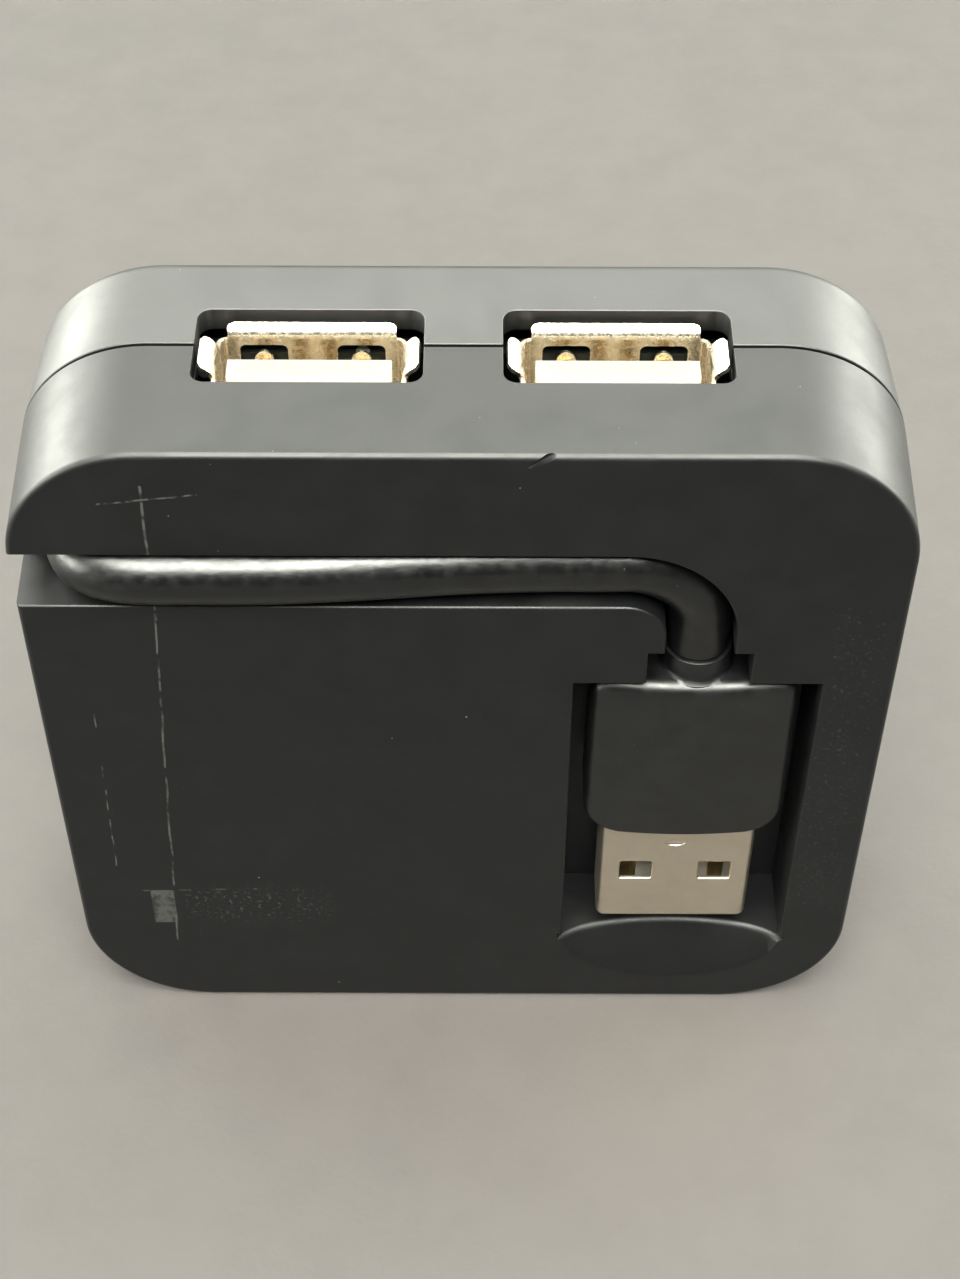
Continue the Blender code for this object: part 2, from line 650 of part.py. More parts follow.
def make_overmould(surface, parts, helpers):
    near, far = y_at(-PAST), y_at(MOULD_THICKNESS + PAST)
    mould = prism("plug_overmould", mould_section(), "Z", MOULD_BOTTOM - PAST, MOULD_TOP + PAST)
    combine(mould, prism("overmould_front", mould_front(), "Y", near, far), "INTERSECT", helpers)
    rounding = mould.modifiers.new("soft_edges", "BEVEL")
    rounding.width = 0.6 * MM
    rounding.segments = 2
    rounding.limit_method = "ANGLE"
    rounding.angle_limit = math.radians(50)
    neck = cylinder("neck", (NECK_X, y_at(NECK_DEPTH)), NECK_RADIUS, "Z", MOULD_TOP - 2 * PAST, NECK_TOP, 20)
    combine(mould, neck, "UNION", helpers)
    room = GAP / 2
    half = SHELL_WIDTH / 2 + room
    pocket = box("shell_pocket", (LEAD_X - half, y_at(SHELL_NEAR - room), MOULD_BOTTOM - 2 * PAST),
                 (LEAD_X + half, y_at(SHELL_FAR + room), SHELL_ROOT + room))
    combine(mould, pocket, "DIFFERENCE", helpers)
    finish(mould, surface, parts, True)


def make_cord(surface, parts):
    route = [(x * MM, y_at(depth * MM), z * MM) for x, depth, z in smooth_route(CORD_ROUTE, 3)]
    finish(tube("cord", route, CORD_RADIUS, 3), surface, parts, True)


def make_strain_relief(surface, parts, helpers):
    """A moulded block that grips the cord behind the slot's floor."""
    bore_radius = CORD_RADIUS + GAP / 2
    reach = bore_radius + RELIEF_WALL
    low = (CORD_ROOT_X - reach, SLOT_Z - RELIEF_HALF)
    high = (CORD_ROOT_X + RELIEF_HALF, SLOT_Z + RELIEF_HALF)
    outline = rounded(low, high, 1 * MM)
    relief = prism("strain_relief", outline, "Y", y_at(RELIEF[0]), y_at(RELIEF[1]))
    bore = cylinder("relief_bore", (CORD_ROOT_X, SLOT_Z), bore_radius, "Y",
                    y_at(RELIEF[0] - PAST), y_at(RELIEF[1] + PAST))
    combine(relief, bore, "DIFFERENCE", helpers)
    finish(relief, surface, parts, True)


def make_wires(surfaces, parts):
    """The four conductors, from the cord's end to their pads on the board."""
    root_x, end, root_z = CORD_ROUTE[0]
    end += GAP / MM
    board = (BOARD_NEAR - GAP - WIRE_RADIUS) / MM
    for number, (x, z) in enumerate(WIRES, 1):
        start = (root_x + x, root_z + z)
        pad = (start[0] + 1.6 + 2 * x, start[1] - 2.5 + 1.5 * z)
        points = [(start[0], end, start[1]), (start[0], end + 1.2, start[1]),
                  ((start[0] + pad[0]) / 2, board - 0.9, (start[1] + pad[1]) / 2), (pad[0], board, pad[1])]
        route = [(px * MM, y_at(depth * MM), pz * MM) for px, depth, pz in smooth_route(points, 3)]
        finish(tube(f"wire_{number}", route, WIRE_RADIUS, 1), surfaces[f"wire_{number}"], parts, True)


def make_surfaces():
    return {
        "housing": material("housing_black", (0.022, 0.023, 0.023), 0.55),
        "mould": material("overmould_black", (0.018, 0.019, 0.020), 0.5),
        "cord": material("cord_black", (0.012, 0.012, 0.013), 0.35),
        "steel": material("nickel_steel", (0.62, 0.55, 0.47), 0.28, 1.0),
        "plug_steel": material("plug_nickel", (0.58, 0.52, 0.45), 0.35, 1.0),
        "white_plastic": material("white_insulator", (0.82, 0.81, 0.76), 0.45),
        "gold": material("contact_gold", (0.83, 0.62, 0.28), 0.25, 1.0),
        "board": material("board_dark", (0.006, 0.02, 0.014), 0.4),
        "chip": material("chip_black", (0.02, 0.02, 0.02), 0.5),
        "capacitor": material("capacitor_sleeve", (0.05, 0.05, 0.12), 0.35),
        "wire_1": material("wire_red", (0.55, 0.03, 0.03), 0.45),
        "wire_2": material("wire_white", (0.8, 0.8, 0.78), 0.45),
        "wire_3": material("wire_green", (0.03, 0.35, 0.08), 0.45),
        "wire_4": material("wire_black", (0.02, 0.02, 0.02), 0.45),
    }


def main():
    clear_scene()
    parts, helpers = collection("usb_hub"), collection("helpers")
    surfaces = make_surfaces()
    make_bottom_cover(surfaces["housing"], parts, helpers)
    make_top_cover(surfaces["housing"], parts, helpers)
    make_board(surfaces, parts, helpers)
    make_ports(surfaces, parts, helpers)
    make_plug_shell(surfaces["plug_steel"], parts, helpers)
    make_plug_insulator(surfaces, parts, helpers)
    make_overmould(surfaces["mould"], parts, helpers)
    make_cord(surfaces["cord"], parts)
    make_strain_relief(surfaces["mould"], parts, helpers)
    make_wires(surfaces, parts)


main()
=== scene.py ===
"""The looks of a USB hub with a captive lead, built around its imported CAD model.

X runs across the underside, Z runs up, and depth is counted along Y from the underside, which faces -Y.
"""
import math

import bmesh
import bpy
from mathutils import Matrix, Vector


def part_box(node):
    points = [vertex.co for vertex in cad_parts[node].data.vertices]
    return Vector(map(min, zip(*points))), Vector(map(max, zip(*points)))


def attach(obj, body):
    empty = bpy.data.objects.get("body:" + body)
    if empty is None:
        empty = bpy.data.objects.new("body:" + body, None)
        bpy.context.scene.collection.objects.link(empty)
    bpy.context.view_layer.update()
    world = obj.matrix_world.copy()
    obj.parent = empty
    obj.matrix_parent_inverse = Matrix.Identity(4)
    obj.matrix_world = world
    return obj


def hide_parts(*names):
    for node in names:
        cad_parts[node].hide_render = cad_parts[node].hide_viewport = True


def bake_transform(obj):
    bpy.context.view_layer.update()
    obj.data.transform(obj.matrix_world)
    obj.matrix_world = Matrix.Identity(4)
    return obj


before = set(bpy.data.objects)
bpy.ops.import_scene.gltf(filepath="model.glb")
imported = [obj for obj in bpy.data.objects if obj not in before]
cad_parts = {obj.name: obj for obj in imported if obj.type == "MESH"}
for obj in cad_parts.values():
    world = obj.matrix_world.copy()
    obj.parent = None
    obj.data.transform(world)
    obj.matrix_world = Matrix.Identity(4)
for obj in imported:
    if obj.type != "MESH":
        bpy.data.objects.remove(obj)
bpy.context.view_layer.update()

MM = 0.001
PAST = 2.0  # how far a cutter runs past the surface that it cuts
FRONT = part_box("bottom_cover")[0].y
GAP = 0.3

# Housing, in millimetres as everything below
WIDTH = 61.3
HEIGHT = 61.3
DEPTH = 20.5
CORNER = 9.7
DRAFT = 0.4
WALL = 1.7
PARTING = 11.1
UNDERSIDE_FILLET = 0.45
TOP_FILLET = 1.3
RIM_CHAMFER = 0.06
LIP = 1.0
LIP_REACH = 1.5
LIP_ROOT = 0.5  # how far the lip's root reaches into the wall
POST_RADIUS = 1.8
POST_ROOT = 1.0  # how deep in a cover's wall the posts begin
POSTS = ((-24.0, 17.0), (-24.0, 36.0), (2.6, 21.0), (2.6, 40.5))
BOARD_NEAR = 14.2
BOARD_FAR = 15.8

# Lead, slot and dock
CORD_RADIUS = 2.25
SLOT_WIDTH = 4.9
SLOT_DEPTH = 5.8
SLOT_Z = 49.75
LEAD_X = 16.6
BEND = 5.5
SLOT_FLOOR = 1.1
RECESS_WALL = 1.2
RECESS_SKIN = 0.8  # how deep in the underside's wall the recesses' own walls begin
DOCK_X = 16.7
DOCK_WIDTH = 17.7
DOCK_BOTTOM = 8.1
DOCK_TOP = 39.45
DOCK_DEPTH = 6.7
DOCK_FLOOR = 0.8
NOTCH_WIDTH = 7.4
NOTCH_TOP = 42.6
EDGE = 0.22  # rounding of the edges of the slot and the dock
SCOOP = (8.8, 2.3, 5.6)  # the finger scoop's half width, depth and length
SCOOP_Z = 8.5
SCOOP_EDGE = 0.42
SCOOP_FLOOR = 1.3
SCOOP_WALL = (1.15, 1.2)  # the wall behind the scoop, as a share of its half width and its length
NICK = ((5.45, 0.02, 61.1), (1.45, 0.42, 0.26), -32)  # place, half sizes, turn in degrees
CORD_ROOT_X = -26.1
CORD_HOLE_RADIUS = 2.7
CORD_ROUTE = (
    (-26.1, 9.4, 49.75), (-26.1, 7.9, 49.75), (-26.2, 6.2, 49.75), (-26.65, 4.2, 49.75),
    (-25.6, 2.1, 49.75), (-22.9, 1.05, 49.75), (-18.5, 0.95, 49.75), (-13.0, 1.0, 49.75),
    (-7.0, 1.4, 49.75), (-1.0, 1.95, 49.75), (4.5, 2.25, 49.75), (9.2, 2.3, 49.75),
    (12.4, 2.4, 49.55), (14.95, 2.6, 48.1), (16.35, 2.85, 46.2), (16.7, 3.05, 44.0), (16.75, 3.2, 41.1),
)

# Plug
SHELL_WIDTH = 12.0
SHELL_NEAR, SHELL_FAR = 1.0, 5.5
SHELL_TIP = 10.15
SHELL_ROOT = 26.0
SHELL_CORNER = 0.6
SHELL_TIP_ROUND = 0.35
SHEET = 0.3
PLUG_WINDOW_X = 3.1
PLUG_WINDOW = (1.27, 15.1, 17.3)  # half width, bottom and top of a window
PLUG_WINDOW_CORNER = 0.15
PLUG_WINDOW_EDGE = 0.13
DIMPLE = ((-0.2, -0.05, 19.8), (0.85, 0.22, 0.42))  # place on the shell and half sizes
MOULD_X = 16.7
MOULD_WIDTH = (15.2, 14.7)  # at its foot and at its head
MOULD_BOTTOM, MOULD_TOP = 22.1, 38.9
MOULD_THICKNESS = 6.35
MOULD_CROWN = 0.65
MOULD_EDGE = 0.75
MOULD_CORNERS = (2.3, 0.9)  # at its foot and at its head
MOULD_SHOULDER = 0.95
MOULD_STRAIGHT = 2.4  # height between the rings of its straight part
MOULD_CLEARANCE = 0.08
NECK_X = 16.75
NECK_RADIUS = 2.5
NECK_DEPTH = 3.2
NECK_TOP = 40.8
NECK_ROWS = (  # height from the overmould's head, then growth of the neck's radius
    (-1.5, 0.35), (-0.1, 0.35), (0.12, 0.1), (0.35, 0.0),
)

# Ports
PORT_X = 10.42
PORT_DEPTH = 11.06
OPENING = (15.5, 7.5)
OPENING_CORNER = 1.0
OPENING_EDGE = 0.08
OPENING_CUT = 5.0  # how far an opening's cutter reaches inwards
PORT_INSIDE = (12.5, 5.12)
PORT_REAR = -14.3
LIP_START = -1.7  # where the shell's edges begin to bend outwards
WINDOW_X = 3.36
WINDOW = (1.65, -7.6, -2.15)  # half width, bottom and top of a window
SIDE_LIP_SHIFT = -0.3
SHELL_ROUND = 0.75  # outer corner of a port's shell
LIP_TURN = 72
LIP_STEPS = 9
LIP_CORNER = 0.45
LIP_OVERLAP = (0.35, 0.15)  # how far below its start a bent lip laps over the wall
LIPS = ((0.75, 5.78), (1.15, 1.65))  # reach and half width of the long edges' lips and the short edges'
FINGER = 0.7
FINGER_SHEET = 0.2
FINGER_TIP = -2.65
FINGER_LINE = (  # height from the opening and lean from the wall, from the foot to the tip
    (-8.0, 0.05), (-5.0, -0.28), (-3.9, -0.38), (-3.5, -0.37), (-3.2, -0.31), (-3.0, -0.24),
    (-2.85, -0.17), (-2.74, -0.12), (-2.68, -0.09), (FINGER_TIP, -0.075),
)
PORTS = ((1, -PORT_X, "up"), (2, PORT_X, "up"), (3, -PORT_X, "down"), (4, PORT_X, "down"))

# Wear on the underside
SCRATCHES = (  # ends, width, then the noise that breaks it up: scale, detail, limits; strength
    ((-20.95, 58.6), (-21.15, 46.0), 0.13, 0.8, 3, (0.35, 0.55), 1.0),
    ((-21.2, 46.6), (-23.4, 8.0), 0.11, 0.5, 4, (0.4, 0.6), 1.0),
    ((-23.9, 57.0), (-17.3, 57.9), 0.11, 1.1, 3, (0.4, 0.6), 1.0),
    ((-26.7, 36.0), (-27.3, 15.0), 0.08, 0.6, 4, (0.5, 0.65), 1.0),
    ((-25.5, 14.6), (-16.5, 14.9), 0.12, 0.9, 4, (0.5, 0.62), 0.6),
)
SCUFFS = (  # centre, half sizes, softness, then the noise: scale, detail, roughness, limits; least, strength
    ((-24.0, 12.5), (0.85, 2.1), 0.12, 1.6, 4, 0.55, (0.32, 0.6), 0.2, 0.8),
    ((27.6, 30.0), (1.3, 17.0), 1.6, 3.2, 5, 0.7, (0.56, 0.72), 0.0, 0.35),
    ((-16.5, 12.8), (4.5, 0.9), 2.2, 2.6, 5, 0.7, (0.56, 0.66), 0.0, 0.8),
)

# Studio, in metres and degrees
FLOOR_DARK = (0.27, 0.236, 0.225)
FLOOR_LIGHT = (0.32, 0.28, 0.267)
FLOOR_HALF = 3
WORLD = (0.80, 0.80, 0.78)
WORLD_STRENGTH = 0.08
LIGHT_COLOUR = (1, 1.01, 0.91)
LIGHT_CENTRE = Vector((0, 0, 0.03))
LIGHT_DISTANCE = 0.9
LIGHTS = (  # name, azimuth, elevation, width, height, radiance, and the surfaces it lights
    ("softbox_front", 180, 65, 0.5, 0.5, 8.0, "matt"),
    ("shine_back", 0, 30, 1.1, 0.3, 7.5, "shiny"),
    ("shine_left_low", -62, 10, 0.8, 0.3, 28.0, "shiny"),
    ("shine_left", -62, 30, 0.7, 0.3, 14.5, "shiny"),
    ("shine_side", -105, 15, 0.6, 0.4, 18.0, "shiny"),
    ("shine_right_low", 62, 10, 0.8, 0.3, 21.0, "shiny"),
    ("shine_right", 62, 30, 0.7, 0.3, 18.0, "shiny"),
    ("shine_top", 0, 75, 0.7, 0.4, 36.0, "shiny"),
    ("shine_front_high", 180, 66, 0.75, 0.48, 40.0, "shiny"),
)
LENS = 62.93
SENSOR = 36
CAMERA_PLACE = (0.001311, -0.115041, 0.158502)
CAMERA_TURNS = ((0.0735, "Z"), (42.67, "X"), (0.154, "Z"))


def point(x, depth, z):
    return Vector((x * MM, FRONT + depth * MM, z * MM))


# Outlines


def arc(centre, radius, start, end, steps):
    """Points on a circle from start to end degrees."""
    angles = [math.radians(start + (end - start) * i / steps) for i in range(steps + 1)]
    return [(centre[0] + radius * math.cos(a), centre[1] + radius * math.sin(a)) for a in angles]


def rounded(low, high, radius, steps):
    """A rectangle with round corners, anticlockwise."""
    points = arc((high[0] - radius, high[1] - radius), radius, 0, 90, steps)
    points += arc((low[0] + radius, high[1] - radius), radius, 90, 180, steps)
    points += arc((low[0] + radius, low[1] + radius), radius, 180, 270, steps)
    return points + arc((high[0] - radius, low[1] + radius), radius, 270, 360, steps)


def housing_outline(inset=0.0, steps=28):
    low, high = (-WIDTH / 2 + inset, inset), (WIDTH / 2 - inset, HEIGHT - inset)
    return rounded(low, high, CORNER - inset, steps)


def slot_outline(grow=0.0):
    """The slot: along the top of the underside, then round a bend and down to the dock."""
    half = SLOT_WIDTH / 2 + grow
    centre = (LEAD_X - BEND, SLOT_Z - BEND)
    foot = DOCK_TOP + 1
    points = [(-WIDTH, SLOT_Z - half)]
    points += arc(centre, BEND - half, 90, 0, 12)
    points += [(LEAD_X - half, foot), (LEAD_X + half, foot)]
    points += arc(centre, BEND + half, 0, 90, 24)
    points.append((-WIDTH, SLOT_Z + half))
    return points


def dock_outline(grow=0.0):
    """The dock for the plug, with a notch for its neck."""
    half, neck = DOCK_WIDTH / 2 + grow, NOTCH_WIDTH / 2 + grow
    low, high, top = DOCK_BOTTOM - grow, DOCK_TOP + grow, NOTCH_TOP + grow
    return [(DOCK_X - half, low), (DOCK_X + half, low), (DOCK_X + half, high), (DOCK_X + neck, high),
            (DOCK_X + neck, top), (DOCK_X - neck, top), (DOCK_X - neck, high), (DOCK_X - half, high)]


# Meshes


def new_object(name, mesh):
    thing = bpy.data.objects.new(name, mesh)
    bpy.context.scene.collection.objects.link(thing)
    return thing


def mesh_from(name, work):
    bmesh.ops.recalc_face_normals(work, faces=work.faces)
    mesh = bpy.data.meshes.new(name)
    work.to_mesh(mesh)
    work.free()
    return new_object(name, mesh)


def loft(name, rings):
    """A closed piece: faces between rings of as many points each, and a face at either end."""
    work = bmesh.new()
    rows = [[work.verts.new(place) for place in ring] for ring in rings]
    count = len(rows[0])
    for near, far in zip(rows, rows[1:]):
        for i in range(count):
            j = (i + 1) % count
            work.faces.new((near[i], near[j], far[j], far[i]))
    work.faces.new(rows[0])
    work.faces.new(list(reversed(rows[-1])))
    return mesh_from(name, work)


def prism_y(name, outline, near, far):
    return loft(name, [[point(x, depth, z) for x, z in outline] for depth in (near, far)])


def prism_z(name, outline, low, high):
    """outline holds x and depth."""
    return loft(name, [[point(x, depth, z) for x, depth in outline] for z in (low, high)])


def cylinder_y(name, x, z, radius, near, far, sides=32):
    return prism_y(name, arc((x, z), radius, 0, 360 - 360 / sides, sides - 1), near, far)


def ellipsoid(name, centre, half_sizes, turn=None):
    work = bmesh.new()
    bmesh.ops.create_uvsphere(work, u_segments=48, v_segments=24, radius=1)
    stretch = Matrix.Diagonal((*[size * MM for size in half_sizes], 1))
    bmesh.ops.transform(work, matrix=(turn or Matrix.Identity(4)) @ stretch, verts=work.verts)
    bmesh.ops.translate(work, vec=point(*centre), verts=work.verts)
    return mesh_from(name, work)


def round_profile(radius, steps):
    """The two legs of a quarter round, from (radius, 0) to (0, radius)."""
    turns = [math.radians(90 * i / steps) for i in range(steps + 1)]
    return [(radius * (1 - math.sin(t)), radius * (1 - math.cos(t))) for t in turns]


def flared(name, outline_at, place, inside, radius, outside=PAST):
    """A cutter that leaves a rounded edge where it meets the surface, at depth 0."""
    rows = [(inside, 0.0)] + round_profile(radius, 4) + [(-outside, radius)]
    return loft(name, [[place(p, depth) for p in outline_at(grow)] for depth, grow in rows])


def change(thing, other, operation):
    """A Boolean that is applied at once, after which the other object is gone."""
    modifier = thing.modifiers.new(other.name, "BOOLEAN")
    modifier.operation = operation
    modifier.solver = "EXACT"
    modifier.object = other
    apply_modifiers(thing)
    bpy.data.objects.remove(other, do_unlink=True)


def apply_modifiers(thing):
    bpy.context.view_layer.update()
    shown = thing.evaluated_get(bpy.context.evaluated_depsgraph_get())
    mesh = bpy.data.meshes.new_from_object(shown)
    thing.modifiers.clear()
    thing.data = mesh


def weld(thing, distance=0.002):
    work = bmesh.new()
    work.from_mesh(thing.data)
    bmesh.ops.remove_doubles(work, verts=work.verts, dist=distance * MM)
    bmesh.ops.dissolve_degenerate(work, edges=work.edges, dist=distance * MM)
    bmesh.ops.recalc_face_normals(work, faces=work.faces)
    work.to_mesh(thing.data)
    work.free()


def shade(thing, angle=35):
    """Smooth shading that keeps the large flat faces flat."""
    thing.data.shade_smooth()
    thing.data.set_sharp_from_angle(angle=math.radians(angle))
    weighted = thing.modifiers.new("weighted_normals", "WEIGHTED_NORMAL")
    weighted.keep_sharp = True
    weighted.weight = 90
    apply_modifiers(thing)


def dress(thing, surface, body, slot, *nodes):
    """Gives a finished piece its material and its body, and hides the CAD nodes that it stands for."""
    thing.data.materials.clear()
    thing.data.materials.append(surface)
    if body:
        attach(thing, body)
    if nodes:
        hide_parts(*nodes)
    return thing


# Housing


def housing_ring(inset, depth, rim):
    """One ring of the housing's outer wall, which leans out towards the rim."""
    lean = 1 + 2 * DRAFT / WIDTH * (depth / rim if rim <= PARTING else (DEPTH - depth) / (DEPTH - rim))
    return [point(x * lean, depth, z) for x, z in housing_outline(inset)]


def housing_block(name, face, rim, fillet):
    """A cover's outer form: flat face, rounded edge and drafted side walls."""
    sign = 1 if rim > face else -1
    rings = [housing_ring(inset, face + sign * rise, rim) for inset, rise in round_profile(fillet, 8)]
    rings.append(housing_ring(0, rim - sign * RIM_CHAMFER, rim))
    rings.append(housing_ring(RIM_CHAMFER, rim, rim))
    return loft(name, rings)


def cut_ports(cover):
    half = OPENING[0] / 2
    near, far = PORT_DEPTH - OPENING[1] / 2, PORT_DEPTH + OPENING[1] / 2
    for end, surface, sign in (("up", HEIGHT, 1), ("down", 0, -1)):
        for x in (-PORT_X, PORT_X):
            def outline_at(grow, x=x):
                return rounded((x - half - grow, near - grow), (x + half + grow, far + grow),
                               OPENING_CORNER + grow, 10)

            def place(p, inwards, surface=surface, sign=sign):
                return point(p[0], p[1], surface - sign * inwards)

            cutter = flared(f"opening_{end}", outline_at, place, OPENING_CUT, OPENING_EDGE)
            change(cover, cutter, "DIFFERENCE")


def add_posts(cover, low, high):
    for x, z in POSTS:
        change(cover, cylinder_y("post", x, z, POST_RADIUS, low, high), "UNION")


def on_underside(p, depth):
    return point(p[0], depth, p[1])


def make_underside_cover(surface):
    rim = PARTING - GAP / 2
    cover = housing_block("underside_cover", 0, rim, UNDERSIDE_FILLET)
    change(cover, prism_y("space", housing_outline(WALL), WALL, rim + PAST), "DIFFERENCE")
    slot_wall = [(max(x, -WIDTH / 2 + RECESS_SKIN), z) for x, z in slot_outline(RECESS_WALL)]
    wide, tall = SCOOP_WALL[0] * SCOOP[0], SCOOP_WALL[1] * SCOOP[2]
    bowl = [(DOCK_X + wide * math.cos(a), SCOOP_Z + tall * math.sin(a))
            for a in (math.radians(180 + 7.5 * i) for i in range(25))]
    for name, outline, far in (("slot_wall", slot_wall, SLOT_DEPTH + SLOT_FLOOR),
                               ("dock_wall", dock_outline(RECESS_WALL), DOCK_DEPTH + DOCK_FLOOR),
                               ("scoop_wall", bowl, SCOOP[1] + SCOOP_FLOOR)):
        change(cover, prism_y(name, outline, RECESS_SKIN, far), "UNION")
    add_posts(cover, POST_ROOT, BOARD_NEAR - GAP)
    change(cover, flared("slot", slot_outline, on_underside, SLOT_DEPTH, EDGE), "DIFFERENCE")
    change(cover, flared("dock", dock_outline, on_underside, DOCK_DEPTH, EDGE), "DIFFERENCE")
    change(cover, finger_scoop(), "DIFFERENCE")
    hole = (CORD_ROOT_X, SLOT_Z, CORD_HOLE_RADIUS, SLOT_DEPTH - 1, SLOT_DEPTH + PAST)
    change(cover, cylinder_y("cord_hole", *hole), "DIFFERENCE")
    cut_ports(cover)
    place, half_sizes, turn = NICK
    turn = Matrix.Rotation(math.radians(turn), 4, "Y")
    change(cover, ellipsoid("nick", place, half_sizes, turn), "DIFFERENCE")
    weld(cover)
    shade(cover)
    return dress(cover, surface, "housing", "housing", "bottom_cover")


def finger_scoop():
    """A half-round groove that rises to the surface below the dock, with a rounded edge at the dock."""
    across, deep, length = SCOOP
    start = DOCK_BOTTOM - SCOOP_EDGE
    rows = [(SCOOP_Z - 1.5 * length, 0.0)]
    rows += [(start + SCOOP_EDGE * math.sin(t), SCOOP_EDGE * (1 - math.cos(t)))
             for t in (math.radians(15 * i) for i in range(7))]
    rows.append((DOCK_BOTTOM + 2 * SCOOP_EDGE, SCOOP_EDGE))
    turns = [math.radians(3 * i) for i in range(120)]
    rings = []
    for z, grow in rows:
        lift = deep / length * (SCOOP_Z - z)
        rings.append([point(DOCK_X + (across + grow) * math.cos(t), (deep + grow) * math.sin(t) - lift, z)
                      for t in turns])
    return loft("scoop", rings)


def make_far_cover(surface):
    """The top cover, with a lip that reaches inside the underside's cover."""
    rim = PARTING + GAP / 2
    cover = housing_block("far_cover", DEPTH, rim, TOP_FILLET)
    change(cover, prism_y("space", housing_outline(WALL), rim - PAST, DEPTH - WALL), "DIFFERENCE")
    inside = WALL + GAP
    change(cover, prism_y("lip_root", housing_outline(WALL - LIP_ROOT), rim, BOARD_NEAR - GAP), "UNION")
    change(cover, prism_y("lip", housing_outline(inside), rim - LIP_REACH, BOARD_NEAR - 1), "UNION")
    bore = prism_y("lip_bore", housing_outline(inside + LIP), rim - 2 * LIP_REACH, DEPTH - WALL)
    change(cover, bore, "DIFFERENCE")
    add_posts(cover, BOARD_FAR + GAP, DEPTH - POST_ROOT)
    cut_ports(cover)
    weld(cover)
    shade(cover)
    return dress(cover, surface, "housing", "housing", "top_cover")


# Lead


def smooth_route(points, between):
    """Catmull-Rom points, with a number of them between each pair."""
    padded = [points[0], *points, points[-1]]
    route = []
    for i in range(len(points) - 1):
        a, b, c, d = padded[i:i + 4]
        for step in range(between):
            t = step / between
            route.append(tuple(
                0.5 * (2 * q + (r - p) * t + (2 * p - 5 * q + 4 * r - s) * t ** 2
                       + (3 * q - p - 3 * r + s) * t ** 3)
                for p, q, r, s in zip(a, b, c, d)))
    route.append(points[-1])
    return route


def tube(name, places, radii, sides):
    """A round tube through places, with a frame that doesn't twist."""
    rings = []
    side = None
    for i, place in enumerate(places):
        along = (places[min(i + 1, len(places) - 1)] - places[max(i - 1, 0)]).normalized()
        if side is None:
            side = along.orthogonal()
        side = (side - side.dot(along) * along).normalized()
        across = along.cross(side)
        turns = [2 * math.pi * k / sides for k in range(sides)]
        rings.append([place + radii[i] * MM * (math.cos(t) * side + math.sin(t) * across) for t in turns])
    return loft(name, rings)


def make_cord(surface):
    places = [point(*p) for p in smooth_route(CORD_ROUTE, 8)]
    cord = tube("lead_cord", places, [CORD_RADIUS] * len(places), 40)
    cord.data.shade_smooth()
    cord.data.set_sharp_from_angle(angle=math.radians(50))
    dress(cord, surface, None, "cord", "cord")
    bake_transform(cord)
    return cord


def mould_half_width(z):
    """Half the overmould's width at a height. Its sides lean in towards its head; its corners are round."""
    foot, head = MOULD_WIDTH[0] / 2, MOULD_WIDTH[1] / 2
    straight = foot + (head - foot) * (z - MOULD_BOTTOM) / (MOULD_TOP - MOULD_BOTTOM)
    low, high = MOULD_CORNERS
    if z < MOULD_BOTTOM + low:
        rise = z - MOULD_BOTTOM
        return straight - low + math.sqrt(max(low ** 2 - (low - rise) ** 2, 0))
    if z > MOULD_TOP - high:
        drop = MOULD_TOP - z
        return straight - high + math.sqrt(max(high ** 2 - (high - drop) ** 2, 0))
    return straight


def mould_ring(z, shrink, count=24):
    """The overmould's section at a height: two shallow crowned faces with rounded edges."""
    half = mould_half_width(z) - shrink
    full = MOULD_WIDTH[0] / 2
    thick = MOULD_THICKNESS / 2 - shrink
    flat = half - MOULD_EDGE
    reach = thick - MOULD_CROWN * (flat / full) ** 2
    corner = min(MOULD_EDGE, reach)
    ring = []
    for sign in (1, -1):
        for i in range(count + 1):
            x = sign * (2 * i / count - 1) * flat
            ring.append((x, -sign * (thick - MOULD_CROWN * (x / full) ** 2)))
        for t, side in ((30, -1), (60, -1), (90, -1), (90, 1), (60, 1), (30, 1)):
            a = math.radians(t)
            x = flat + MOULD_EDGE * math.sin(a)
            ring.append((sign * x, side * sign * (reach - corner + corner * math.cos(a))))
    return [point(MOULD_X + x, MOULD_THICKNESS / 2 + depth, z) for x, depth in ring]


